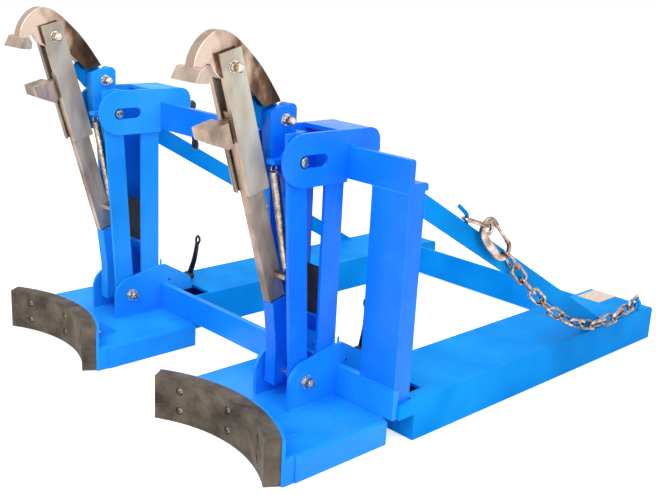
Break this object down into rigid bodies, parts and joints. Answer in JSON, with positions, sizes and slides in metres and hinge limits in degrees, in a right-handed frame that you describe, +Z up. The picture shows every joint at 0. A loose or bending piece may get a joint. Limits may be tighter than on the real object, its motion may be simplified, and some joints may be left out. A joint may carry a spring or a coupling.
{
  "type": "fork-mounted twin drum gripper",
  "caption": "Blue forklift attachment with fork sleeves, braced frame, hooked steel beaks that grip drum rims, rubber belly pads and a safety chain.",
  "frame": {"origin": "centre of the bounding box, at the level of the floor it stands on", "axes": "+Z up, +Y from the pads back to the open ends of the fork sleeves, +X to the side with the chain"},
  "size_m": [1.011, 1.251, 0.738],
  "materials": {
    "blue_paint": "gloss powder coat",
    "zinc_plated": "zinc plated",
    "polished_steel": "bright stainless",
    "bolt_steel": "plain steel",
    "bare_plate": "satin, blank",
    "black_rubber": "matt",
    "pad_rubber": "matt, dark brown",
    "black_lever": "black, satin"
  },
  "bodies": {
    "frame": {"upper_cross_plate": "blue_paint", "lower_cross_plate": "blue_paint", "post_right": "blue_paint", "post_left": "blue_paint", "strut_right": "blue_paint", "strut_left": "blue_paint", "sleeve_right": "blue_paint", "sleeve_left": "blue_paint", "rear_cross_member": "blue_paint", "blank_plate": "bare_plate", "chain_hook": "blue_paint", "chain_eye": "blue_paint", "safety_chain": "zinc_plated", "snap_hook": "zinc_plated", "head_plates_right": "blue_paint", "head_plates_left": "blue_paint", "lug_plates_right": "blue_paint", "lug_plates_left": "blue_paint", "column_right": "blue_paint", "column_left": "blue_paint", "base_tray_right": "blue_paint", "base_tray_left": "blue_paint", "pad_band_right": "blue_paint", "pad_band_left": "blue_paint", "rubber_pad_right": "pad_rubber", "rubber_pad_left": "pad_rubber", "pad_screws_right": "zinc_plated", "pad_screws_left": "zinc_plated", "buffer_right": "black_rubber", "buffer_left": "black_rubber", "pivot_pin_right": "bolt_steel", "pivot_pin_left": "bolt_steel"},
    "arm_body_right": {"arm_right": "blue_paint", "slot_pin_right": "bolt_steel", "beak_right": "polished_steel", "arm_bolt_right": "bolt_steel", "beak_bolt_right": "bolt_steel", "guide_right": "polished_steel", "spring_right": "zinc_plated"},
    "slider_body_right": {"slider_right": "polished_steel", "lower_jaw_right": "polished_steel"},
    "lower_screw_body_right": {"lower_screw_right": "black_lever"},
    "upper_screw_body_right": {"upper_screw_right": "black_lever"},
    "arm_body_left": {"arm_left": "blue_paint", "slot_pin_left": "bolt_steel", "beak_left": "polished_steel", "arm_bolt_left": "bolt_steel", "beak_bolt_left": "bolt_steel", "guide_left": "polished_steel", "spring_left": "zinc_plated"},
    "slider_body_left": {"slider_left": "polished_steel", "lower_jaw_left": "polished_steel"},
    "lower_screw_body_left": {"lower_screw_left": "black_lever"},
    "upper_screw_body_left": {"upper_screw_left": "black_lever"},
    "gate_body": {"snap_gate": "zinc_plated"}
  },
  "joints": [
    {"name": "arm_tilt_right", "type": "hinge", "parent": "frame", "child": "arm_body_right", "pos_m": [0.2815, -0.3935, 0.1], "axis": [-1, 0, 0], "range_deg": [0, 5.8]},
    {"name": "jaw_slide_right", "type": "slide", "parent": "arm_body_right", "child": "slider_body_right", "axis": [0, -0.2756, 0.9613], "range_m": [0, 0.045], "deforming": ["spring_right"]},
    {"name": "lower_clamp_right", "type": "hinge", "parent": "frame", "child": "lower_screw_body_right", "pos_m": [0.2815, -0.1965, 0.097], "axis": [0, 1, 0], "range_deg": [-60, 40]},
    {"name": "upper_clamp_right", "type": "hinge", "parent": "frame", "child": "upper_screw_body_right", "pos_m": [0.2815, -0.1965, 0.518], "axis": [0, 1, 0], "range_deg": [-90, 15]},
    {"name": "arm_tilt_left", "type": "hinge", "parent": "frame", "child": "arm_body_left", "pos_m": [-0.3185, -0.3935, 0.1], "axis": [-1, 0, 0], "range_deg": [0, 5.8]},
    {"name": "jaw_slide_left", "type": "slide", "parent": "arm_body_left", "child": "slider_body_left", "axis": [0, -0.2756, 0.9613], "range_m": [0, 0.045], "deforming": ["spring_left"]},
    {"name": "lower_clamp_left", "type": "hinge", "parent": "frame", "child": "lower_screw_body_left", "pos_m": [-0.3185, -0.1965, 0.097], "axis": [0, 1, 0], "range_deg": [-60, 40]},
    {"name": "upper_clamp_left", "type": "hinge", "parent": "frame", "child": "upper_screw_body_left", "pos_m": [-0.3185, -0.1965, 0.518], "axis": [0, 1, 0], "range_deg": [-90, 15]},
    {"name": "gate_swing", "type": "hinge", "parent": "frame", "child": "gate_body", "pos_m": [0.4915, -0.02731, 0.35382], "axis": [1, 0, 0], "range_deg": [0, 18], "stiffness_Nm_per_rad": 0.05, "springref_deg": -17.19}
  ]
}
